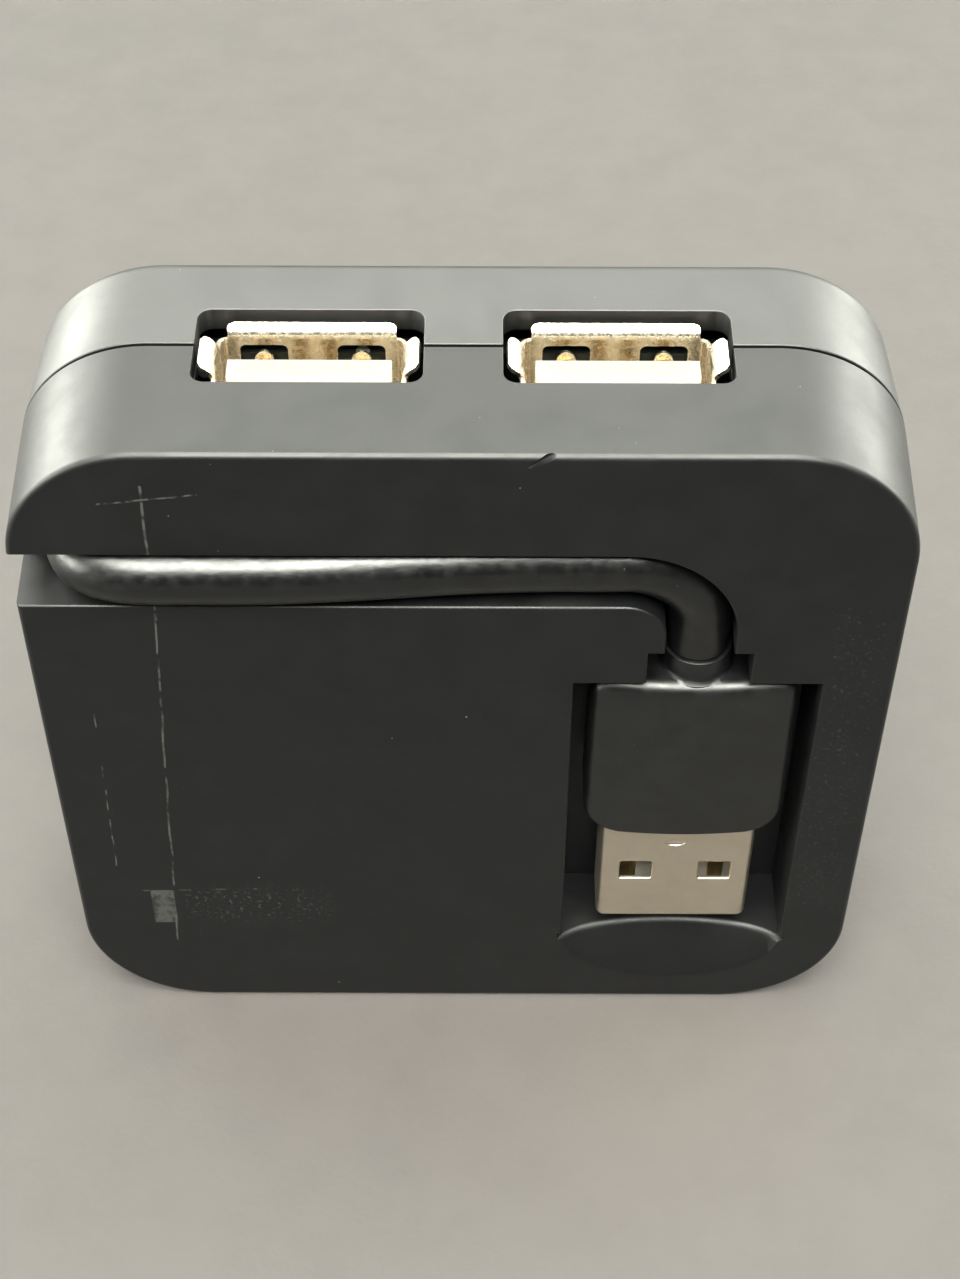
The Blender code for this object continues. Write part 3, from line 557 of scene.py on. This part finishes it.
def make_overmould(surface):
    foot = MOULD_CORNERS[0]
    heights = [foot * (1 - math.cos(math.radians(9 * i))) for i in range(1, 11)]
    heights += [foot + MOULD_STRAIGHT * i for i in range(1, 6)]
    heights.append(MOULD_TOP - MOULD_BOTTOM - 1.5 * MOULD_SHOULDER)
    rings = [mould_ring(MOULD_BOTTOM + 0.001, 0.45), mould_ring(MOULD_BOTTOM + 0.03, 0.2)]
    rings += [mould_ring(MOULD_BOTTOM + height, 0) for height in heights]
    rings += [mould_ring(MOULD_TOP - drop, shrink) for drop, shrink in round_profile(MOULD_SHOULDER, 4)]
    mould = loft("plug_cover", rings)
    rows = [(MOULD_TOP + height, NECK_RADIUS + growth) for height, growth in NECK_ROWS]
    rows += [(NECK_TOP - drop, NECK_RADIUS - inset) for drop, inset in ((0.14, 0), (0.04, 0.04), (0, 0.14))]
    neck = [[point(x, depth, z) for x, depth in arc((NECK_X, NECK_DEPTH), radius, 0, 352.5, 47)]
            for z, radius in rows]
    change(mould, loft("neck", neck), "UNION")
    reach = SHELL_WIDTH / 2 + MOULD_CLEARANCE
    low = (LEAD_X - reach, SHELL_NEAR - MOULD_CLEARANCE)
    high = (LEAD_X + reach, SHELL_FAR + MOULD_CLEARANCE)
    pocket = rounded(low, high, SHELL_CORNER, 6)
    pocket = prism_z("pocket", pocket, MOULD_BOTTOM - PAST, SHELL_ROOT + MOULD_CLEARANCE)
    change(mould, pocket, "DIFFERENCE")
    weld(mould)
    shade(mould, 40)
    return dress(mould, surface, "lead", "overmould", "plug_overmould")


def make_plug_shell(surface):
    low, high = (LEAD_X - SHELL_WIDTH / 2, SHELL_NEAR), (LEAD_X + SHELL_WIDTH / 2, SHELL_FAR)

    def ring(z, inset, radius):
        outline = rounded((low[0] + inset, low[1] + inset), (high[0] - inset, high[1] - inset), radius, 8)
        return [point(x, depth, z) for x, depth in outline]

    def on_shell(p, depth):
        return point(p[0], SHELL_NEAR + depth, p[1])

    rings = [ring(SHELL_ROOT, 0, SHELL_CORNER)]
    for drop, inset in round_profile(SHELL_TIP_ROUND, 3):
        rings.append(ring(SHELL_TIP + drop, 0.45 * inset, SHELL_CORNER))
    shell = loft("plug_metal_shell", rings)
    bore = [ring(z, SHEET, SHELL_CORNER - SHEET) for z in (SHELL_ROOT + 1, SHELL_TIP - 1)]
    change(shell, loft("bore", bore), "DIFFERENCE")
    half, bottom, top = PLUG_WINDOW
    for x in (LEAD_X - PLUG_WINDOW_X, LEAD_X + PLUG_WINDOW_X):
        def window_at(grow, x=x):
            return rounded((x - half - grow, bottom - grow), (x + half + grow, top + grow),
                           PLUG_WINDOW_CORNER + grow, 3)

        window = flared("window", window_at, on_shell, SHELL_FAR, PLUG_WINDOW_EDGE, 1)
        change(shell, window, "DIFFERENCE")
    (x, depth, z), half_sizes = DIMPLE
    dimple = ellipsoid("dimple", (LEAD_X + x, SHELL_NEAR + depth, z), half_sizes)
    change(shell, dimple, "DIFFERENCE")
    weld(shell)
    shade(shell)
    return dress(shell, surface, "lead", "plug_steel", "plug_shell")


def bent_lip(wall, reach, half_width, sign, along_x, shift):
    """One edge of a port's shell: it runs up the wall and bends outwards, with round outer corners."""
    radius = reach / (1 - math.cos(math.radians(LIP_TURN)))
    line = [(wall, LIP_START - lap, 0.0) for lap in LIP_OVERLAP]
    for i in range(LIP_STEPS + 1):
        t = math.radians(LIP_TURN * i / LIP_STEPS)
        line.append((wall + radius * (1 - math.cos(t)), LIP_START + radius * math.sin(t) * 0.9, t))
    length = radius * math.radians(LIP_TURN) + LIP_OVERLAP[0]
    total = len(line) - 1
    rings = []
    for index, (out, up, t) in enumerate(line):
        left = min((total - index) / total * length, LIP_CORNER)
        drop = LIP_CORNER - math.sqrt(max(LIP_CORNER ** 2 - (LIP_CORNER - left) ** 2, 0))
        half = half_width - drop
        near, far = (out, up), (out + SHEET * math.cos(t), up - SHEET * math.sin(t))
        ring = []
        for side, (o, z) in ((-1, near), (1, near), (1, far), (-1, far)):
            place = (side * half, sign * o) if along_x else (sign * o, side * half + shift)
            ring.append((*place, z))
        rings.append(ring)
    return rings


def make_port_shell(number, x, end, surface):
    """A port's sheet-metal shell, with bent lips and spring fingers standing in its windows."""
    flip = 1 if end == "up" else -1
    level = HEIGHT if end == "up" else 0

    def place(across, depth, up):
        return point(x + flip * across, PORT_DEPTH + depth, level + flip * up)

    def sleeve(inset, *heights):
        half = (PORT_INSIDE[0] / 2 + SHEET - inset, PORT_INSIDE[1] / 2 + SHEET - inset)
        outline = rounded((-half[0], -half[1]), half, SHELL_ROUND - inset, 6)
        return [[place(a, d, up) for a, d in outline] for up in heights]

    def join(name, rings):
        change(shell, loft(name, [[place(*p) for p in ring] for ring in rings]), "UNION")

    shell = loft(f"port_{number}_metal_shell", sleeve(0, PORT_REAR, LIP_START))
    change(shell, loft("bore", sleeve(SHEET, PORT_REAR - 1, 0)), "DIFFERENCE")
    half, low, high = WINDOW
    for side in (-WINDOW_X, WINDOW_X):
        outline = rounded((side - half, low), (side + half, high), 0.45, 5)
        window = [[place(a, depth, up) for a, up in outline] for depth in (-4, 4)]
        change(shell, loft("window", window), "DIFFERENCE")
    for sign in (-1, 1):
        join("lip", bent_lip(PORT_INSIDE[1] / 2, *LIPS[0], sign, True, 0))
        join("lip", bent_lip(PORT_INSIDE[0] / 2, *LIPS[1], sign, False, SIDE_LIP_SHIFT))
        for side in (-WINDOW_X, WINDOW_X):
            join("finger", finger_rings(side, sign))
    weld(shell)
    shade(shell)
    return dress(shell, surface, "housing", "port_steel", f"port_{number}_shell")


def finger_rings(x, sign):
    """A tab that leans in from its window's foot and turns out again at its round tip."""
    wall = PORT_INSIDE[1] / 2
    rings = []
    for up, lean in FINGER_LINE:
        tip = max(0.0, up - (FINGER_TIP - FINGER))
        half = math.sqrt(max(FINGER ** 2 - tip ** 2, 0.01))
        near, far = sign * (wall + lean), sign * (wall + lean + FINGER_SHEET)
        rings.append([(x - half, near, up), (x + half, near, up), (x + half, far, up), (x - half, far, up)])
    return rings


# Materials


class Graph:
    """Short names for building one material's nodes."""

    def __init__(self, name, colour, roughness, metallic=0.0):
        self.material = bpy.data.materials.new(name)
        self.material.use_nodes = True
        self.tree = self.material.node_tree
        self.shader = self.tree.nodes["Principled BSDF"]
        self.set("Base Color", (*colour, 1))
        self.set("Roughness", roughness)
        self.set("Metallic", metallic)
        place = self.add("ShaderNodeTexCoord").outputs["Object"]
        self.mm = self.vector("SCALE", place, scale=1000)

    def set(self, socket, value):
        self.shader.inputs[socket].default_value = value

    def link(self, source, socket):
        self.tree.links.new(source, self.shader.inputs[socket])

    def add(self, kind, inputs=(), **settings):
        node = self.tree.nodes.new(kind)
        for key, value in settings.items():
            setattr(node, key, value)
        for key, value in dict(inputs).items():
            if isinstance(value, bpy.types.NodeSocket):
                self.tree.links.new(value, node.inputs[key])
            else:
                node.inputs[key].default_value = value
        return node

    def vector(self, operation, a, b=None, scale=None):
        inputs = {0: a}
        if b is not None:
            inputs[1] = b
        if scale is not None:
            inputs["Scale"] = scale
        node = self.add("ShaderNodeVectorMath", inputs, operation=operation)
        return node.outputs["Value" if operation in ("LENGTH", "DISTANCE", "DOT_PRODUCT") else "Vector"]

    def math(self, operation, a, b=0.5, c=0.5, clamp=False):
        return self.add("ShaderNodeMath", {0: a, 1: b, 2: c}, operation=operation, use_clamp=clamp).outputs[0]

    def noise(self, scale, detail=3.0, rough=0.55, where=None, stretch=None):
        where = where or self.mm
        if stretch:
            where = self.vector("MULTIPLY", where, stretch)
        inputs = {"Vector": where, "Scale": scale, "Detail": detail, "Roughness": rough}
        return self.add("ShaderNodeTexNoise", inputs).outputs["Fac"]

    def ramp(self, value, low, high, out_low=0.0, out_high=1.0):
        inputs = {"Value": value, "From Min": low, "From Max": high, "To Min": out_low, "To Max": out_high}
        return self.add("ShaderNodeMapRange", inputs, clamp=True, interpolation_type="SMOOTHSTEP").outputs[0]

    def mix(self, fac, a, b):
        a = (*a, 1) if isinstance(a, tuple) else a
        b = (*b, 1) if isinstance(b, tuple) else b
        return self.add("ShaderNodeMix", {0: fac, 6: a, 7: b}, data_type="RGBA").outputs[2]

    def bump(self, height, strength, distance, normal=None):
        inputs = {"Height": height, "Strength": strength, "Distance": distance * MM}
        if normal is not None:
            inputs["Normal"] = normal
        return self.add("ShaderNodeBump", inputs).outputs["Normal"]

    def specks(self, scale, size, share):
        """Small round grains: a share of the cells of a pattern hold one each."""
        cells = self.add("ShaderNodeTexVoronoi", {"Vector": self.mm, "Scale": scale})
        chance = self.add("ShaderNodeSeparateColor", {0: cells.outputs["Color"]})
        reach = self.math("MULTIPLY", chance.outputs[1], size)
        grain = self.math("LESS_THAN", cells.outputs["Distance"], reach)
        return self.math("MULTIPLY", grain, self.math("LESS_THAN", chance.outputs[0], share))

    def flat_place(self):
        """The place on the underside, with its depth left out."""
        return self.vector("MULTIPLY", self.mm, (1, 0, 1))

    def scratch(self, start, end, width, wander=0.3):
        """How much of a straight scratch between two points on the underside is here."""
        a, b = Vector((start[0], 0, start[1])), Vector((end[0], 0, end[1]))
        drift = self.noise(0.35, 2, 0.5)
        sway = self.math("MULTIPLY", self.math("SUBTRACT", drift, 0.5), wander)
        side = (b - a).cross(Vector((0, 1, 0))).normalized()
        push = self.vector("SCALE", tuple(side), scale=sway)
        here = self.vector("ADD", self.vector("SUBTRACT", self.flat_place(), tuple(a)), push)
        along = self.vector("DOT_PRODUCT", here, tuple(b - a))
        share = self.math("DIVIDE", along, (b - a).length_squared, clamp=True)
        nearest = self.vector("SCALE", tuple(b - a), scale=share)
        distance = self.vector("DISTANCE", here, nearest)
        return self.ramp(distance, width, 0.3 * width)

    def patch(self, centre, half_sizes, soft):
        """How much of a box with soft sides on the underside is here."""
        here = self.vector("SUBTRACT", self.flat_place(), (centre[0], 0, centre[1]))
        size = self.vector("ABSOLUTE", here)
        parts = self.add("ShaderNodeSeparateXYZ", {0: size})
        across = self.ramp(parts.outputs[0], half_sizes[0] + soft, half_sizes[0])
        up = self.ramp(parts.outputs[2], half_sizes[1] + soft, half_sizes[1])
        return self.math("MULTIPLY", across, up)

    def on_underside(self):
        """1 on the flat underside and 0 elsewhere."""
        parts = self.add("ShaderNodeSeparateXYZ", {0: self.mm})
        return self.math("LESS_THAN", parts.outputs[1], FRONT / MM + 0.12)


def wear(g):
    """How much of a broken scratch or scuff of the underside is here."""
    lines = 0.0
    for start, end, width, scale, detail, limits, strength in SCRATCHES:
        shown = g.ramp(g.noise(scale, detail), *limits, 0, strength)
        lines = g.math("MAXIMUM", lines, g.math("MULTIPLY", g.scratch(start, end, width), shown))
    for centre, half_sizes, soft, scale, detail, rough, limits, least, strength in SCUFFS:
        shown = g.ramp(g.noise(scale, detail, rough), *limits, least, strength)
        lines = g.math("MAXIMUM", lines, g.math("MULTIPLY", g.patch(centre, half_sizes, soft), shown))
    return g.math("MULTIPLY", lines, g.on_underside())


def housing_surface(name, gloss):
    """Matt black moulded plastic with a fine grain, dust and the scratches of use."""
    g = Graph(name, (0.012, 0.013, 0.013), 0.45)
    g.set("IOR", gloss)
    base = g.mix(g.ramp(g.noise(0.12, 4, 0.6), 0.35, 0.7), (0.0030, 0.0045, 0.0060), (0.0062, 0.0082, 0.0098))
    fine = g.noise(6.0, 3, 0.6)
    lines = wear(g)
    dust = g.math("MAXIMUM", g.specks(0.35, 0.045, 0.35), g.specks(0.9, 0.05, 0.16))
    colour = g.mix(g.math("MULTIPLY", lines, 0.32), base, (0.55, 0.55, 0.52))
    colour = g.mix(g.math("MULTIPLY", dust, 0.55), colour, (0.6, 0.6, 0.57))
    g.link(colour, "Base Color")
    rough = g.ramp(g.noise(0.3, 4, 0.6), 0.3, 0.7, 0.40, 0.50)
    rough = g.math("ADD", rough, g.math("MULTIPLY", fine, 0.06))
    marks = g.math("MULTIPLY", g.math("MAXIMUM", lines, dust), 0.25)
    g.link(g.math("ADD", rough, marks), "Roughness")
    height = g.math("SUBTRACT", fine, g.math("MULTIPLY", lines, 1.2))
    g.link(g.bump(height, 0.35, 0.012), "Normal")
    return g.material


def overmould_surface():
    """Satin black moulded plastic, a little polished by handling."""
    g = Graph("lead_black_plastic", (0.011, 0.012, 0.012), 0.4)
    broad = g.noise(0.35, 4, 0.6)
    dust = g.math("MAXIMUM", g.specks(0.8, 0.06, 0.3), g.specks(1.6, 0.06, 0.12))
    base = g.mix(g.ramp(broad, 0.35, 0.7), (0.004, 0.0055, 0.0067), (0.009, 0.011, 0.012))
    g.link(g.mix(g.math("MULTIPLY", dust, 0.5), base, (0.5, 0.5, 0.47)), "Base Color")
    g.link(g.ramp(g.noise(0.9, 5, 0.65), 0.3, 0.7, 0.34, 0.47), "Roughness")
    g.link(g.bump(g.noise(5.0, 3, 0.6), 0.3, 0.01), "Normal")
    return g.material


def cord_surface():
    """Soft black PVC with a satin skin and faint ripples along it."""
    g = Graph("cord_black_pvc", (0.010, 0.010, 0.011), 0.34)
    tone = g.noise(0.5, 4, 0.6)
    dust = g.specks(1.1, 0.06, 0.25)
    base = g.mix(g.ramp(tone, 0.3, 0.7), (0.004, 0.0052, 0.006), (0.009, 0.0105, 0.0115))
    g.link(g.mix(g.math("MULTIPLY", dust, 0.45), base, (0.45, 0.45, 0.43)), "Base Color")
    g.link(g.ramp(g.noise(1.2, 4, 0.6), 0.3, 0.7, 0.28, 0.40), "Roughness")
    ripple = g.noise(0.7, 3, 0.5, stretch=(0.4, 1.4, 1.4))
    skin = g.bump(ripple, 0.25, 0.12)
    g.link(g.bump(g.noise(7.0, 2, 0.5), 0.2, 0.008, skin), "Normal")
    return g.material


def metal_surface(name, colour, shadow, roughness, stretch):
    """Plated sheet metal: drawn grain, small scratches and a slight unevenness in its tint."""
    g = Graph(name, colour, roughness, 1.0)
    tone = g.noise(0.45, 4, 0.6)
    g.link(g.mix(g.ramp(tone, 0.25, 0.8), colour, shadow), "Base Color")
    grain = g.noise(3.0, 4, 0.6, stretch=stretch)
    scratches = g.ramp(g.noise(9.0, 2, 0.5, stretch=stretch), 0.66, 0.74)
    spread = g.ramp(grain, 0.3, 0.7, roughness - 0.04, roughness + 0.05)
    g.link(g.math("ADD", spread, g.math("MULTIPLY", scratches, 0.05)), "Roughness")
    g.link(g.bump(grain, 0.1, 0.006), "Normal")
    return g.material


def plain_surface(name, low, high, roughness, scale=0.8):
    """Two close tones mottled together, with a fine grain."""
    g = Graph(name, low, roughness)
    g.link(g.mix(g.ramp(g.noise(scale, 4, 0.6), 0.3, 0.7), low, high), "Base Color")
    g.link(g.ramp(g.noise(2.2 * scale, 4, 0.6), 0.3, 0.7, roughness - 0.05, roughness + 0.07), "Roughness")
    g.link(g.bump(g.noise(6 * scale, 3, 0.6), 0.2, 0.01), "Normal")
    return g.material


def board_surface():
    """A near-black solder mask colour, darkened to match the dark seen through the port windows, over copper
    tracks that run in steps, with tinned pads.
    """
    g = Graph("hub_board_mask", (0.006, 0.02, 0.014), 0.35)
    parts = g.add("ShaderNodeSeparateXYZ", {0: g.mm})
    steps = g.math("MULTIPLY", g.math("FLOOR", g.math("MULTIPLY", g.noise(0.12, 1, 0.3), 14)), 1.6)
    lane = g.math("FRACT", g.math("MULTIPLY", g.math("ADD", parts.outputs[0], steps), 0.55))
    rows = g.math("FRACT", g.math("MULTIPLY", g.math("ADD", parts.outputs[2], steps), 0.4))
    across = g.math("GREATER_THAN", g.noise(0.09, 1, 0.2), 0.5)
    track = g.math("LESS_THAN", g.add("ShaderNodeMix", {0: across, 2: lane, 3: rows}).outputs[0], 0.3)
    pads = g.specks(0.55, 0.42, 0.3)
    # near-black mask tones, darkened to match the dark seen through the port windows
    mask = g.mix(track, (0.003, 0.006, 0.005), (0.006, 0.013, 0.010))
    g.link(g.mix(pads, mask, (0.72, 0.70, 0.64)), "Base Color")
    g.link(g.math("MULTIPLY", pads, 0.9), "Metallic")
    g.link(g.bump(g.math("ADD", track, g.math("MULTIPLY", pads, 0.6)), 0.4, 0.03), "Normal")
    return g.material


def chip_surface():
    """Dark moulded package between tinned leads."""
    g = Graph("hub_chip_package", (0.02, 0.02, 0.02), 0.5)
    low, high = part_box("hub_controller")
    parts = g.add("ShaderNodeSeparateXYZ", {0: g.mm})
    middle = (low.z + high.z) / 2 / MM
    reach = g.math("ABSOLUTE", g.math("SUBTRACT", parts.outputs[2], middle))
    lead = g.math("GREATER_THAN", reach, 3.52)
    body = g.mix(g.ramp(g.noise(2.5, 5, 0.7), 0.3, 0.7), (0.014, 0.014, 0.015), (0.03, 0.03, 0.031))
    g.link(g.mix(lead, body, (0.75, 0.74, 0.70)), "Base Color")
    g.link(lead, "Metallic")
    g.link(g.ramp(g.noise(3, 4), 0.3, 0.7, 0.42, 0.6), "Roughness")
    g.link(g.bump(g.noise(9, 3, 0.6), 0.3, 0.02), "Normal")
    return g.material


def can_surface():
    """A sleeved capacitor can with a bare scored end."""
    g = Graph("hub_capacitor_sleeve", (0.03, 0.03, 0.08), 0.35)
    end = (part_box("capacitor_1")[0].y / MM) + 0.05
    parts = g.add("ShaderNodeSeparateXYZ", {0: g.mm})
    bare = g.math("LESS_THAN", parts.outputs[1], end)
    sleeve = g.mix(g.ramp(g.noise(1.5, 4), 0.3, 0.7), (0.022, 0.022, 0.06), (0.045, 0.045, 0.11))
    g.link(g.mix(bare, sleeve, (0.7, 0.7, 0.71)), "Base Color")
    g.link(bare, "Metallic")
    g.link(g.ramp(g.noise(3, 4), 0.3, 0.7, 0.28, 0.42), "Roughness")
    g.link(g.bump(g.noise(5, 3), 0.2, 0.02), "Normal")
    return g.material


def floor_surface():
    """A pale matt sheet with faint mottling."""
    g = Graph("studio_floor", (0.42, 0.37, 0.33), 0.8)
    broad = g.noise(0.012, 4, 0.55)
    fine = g.noise(0.12, 5, 0.6)
    cloud = g.math("ADD", g.math("MULTIPLY", broad, 0.6), g.math("MULTIPLY", fine, 0.4))
    g.link(g.mix(g.ramp(cloud, 0.35, 0.65), FLOOR_DARK, FLOOR_LIGHT), "Base Color")
    g.link(g.bump(g.noise(1.5, 4, 0.6), 0.25, 0.15), "Normal")
    return g.material


# Studio


def make_floor():
    work = bmesh.new()
    bmesh.ops.create_grid(work, x_segments=2, y_segments=2, size=FLOOR_HALF)
    floor = mesh_from("floor", work)
    floor.data.materials.append(floor_surface())


def softbox(name, azimuth, elevation, width, height, radiance, lights):
    """A soft light aimed at the hub: it either fills matt surfaces or shows in shiny ones."""
    turn, rise = math.radians(azimuth), math.radians(elevation)
    away = Vector((math.cos(rise) * math.sin(turn), math.cos(rise) * math.cos(turn), math.sin(rise)))
    data = bpy.data.lights.new(name, "AREA")
    data.shape = "RECTANGLE"
    data.size, data.size_y = width, height
    data.energy = math.pi * width * height * radiance
    data.color = LIGHT_COLOUR
    lamp = new_object(name, data)
    lamp.location = LIGHT_CENTRE + LIGHT_DISTANCE * away
    lamp.rotation_euler = away.to_track_quat("Z", "Y").to_euler()
    lamp.visible_glossy = lights == "shiny"
    lamp.visible_diffuse = lights == "matt"


def make_lights():
    world = bpy.data.worlds.new("studio")
    bpy.context.scene.world = world
    world.use_nodes = True
    background = world.node_tree.nodes["Background"]
    background.inputs["Color"].default_value = (*WORLD, 1)
    background.inputs["Strength"].default_value = WORLD_STRENGTH
    for row in LIGHTS:
        softbox(*row)


def make_camera():
    data = bpy.data.cameras.new("camera")
    data.lens = LENS
    data.sensor_width = SENSOR
    data.clip_start = 0.01
    camera = new_object("camera", data)
    turn = Matrix.Identity(4)
    for angle, axis in CAMERA_TURNS:
        turn = turn @ Matrix.Rotation(math.radians(angle), 4, axis)
    camera.matrix_world = Matrix.Translation(CAMERA_PLACE) @ turn
    bpy.context.scene.camera = camera


# Everything


def dress_cad_nodes(surfaces):
    """Gives each CAD node that is still shown a finished material."""
    steel, gold, white = surfaces["port_steel"], surfaces["contact"], surfaces["white_plastic"]
    chosen = {"circuit_board": board_surface(), "hub_controller": chip_surface(), "crystal": steel,
              "strain_relief": surfaces["overmould"], "plug_tongue": white}
    chosen.update({f"capacitor_{i}": surfaces["capacitor"] for i in (1, 2, 3)})
    chosen.update({f"plug_contact_{i}": gold for i in (1, 2, 3, 4)})
    tones = {1: ((0.42, 0.02, 0.02), (0.6, 0.04, 0.03)), 2: ((0.72, 0.72, 0.7), (0.85, 0.85, 0.82)),
             3: ((0.02, 0.24, 0.05), (0.04, 0.38, 0.09)), 4: ((0.012,) * 3, (0.025,) * 3)}
    for number, (low, high) in tones.items():
        chosen[f"wire_{number}"] = plain_surface(f"wire_sleeve_{number}", low, high, 0.42, 1.5)
    for port in (1, 2, 3, 4):
        chosen[f"port_{port}_tongue"] = white
        chosen.update({f"port_{port}_contact_{i}": gold for i in (1, 2, 3, 4)})
    for name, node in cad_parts.items():
        if not node.hide_render:
            node.data.materials.clear()
            node.data.materials.append(chosen[name])


def main():
    surfaces = {
        "housing": housing_surface("hub_black_plastic", 1.42),
        "far_housing": housing_surface("hub_black_plastic_far", 1.58),
        "overmould": overmould_surface(),
        "cord": cord_surface(),
        "port_steel": metal_surface(
            "port_nickel", (0.80, 0.73, 0.62), (0.75, 0.67, 0.55), 0.26, (1, 0.3, 1)),
        "plug_steel": metal_surface(
            "plug_nickel", (0.62, 0.56, 0.46), (0.57, 0.51, 0.42), 0.33, (0.12, 1, 1)),
        "white_plastic": plain_surface("white_insulator", (0.80, 0.79, 0.74), (0.86, 0.85, 0.80), 0.45),
        "contact": metal_surface("contact_gold", (0.86, 0.66, 0.33), (0.76, 0.55, 0.25), 0.24, (1, 1, 0.15)),
        "capacitor": can_surface(),
    }
    make_underside_cover(surfaces["housing"])
    make_far_cover(surfaces["far_housing"])
    make_cord(surfaces["cord"])
    make_overmould(surfaces["overmould"])
    make_plug_shell(surfaces["plug_steel"])
    for number, x, end in PORTS:
        make_port_shell(number, x, end, surfaces["port_steel"])
    dress_cad_nodes(surfaces)
    make_floor()
    make_lights()
    make_camera()
    bpy.context.scene.view_settings.view_transform = "Standard"


main()
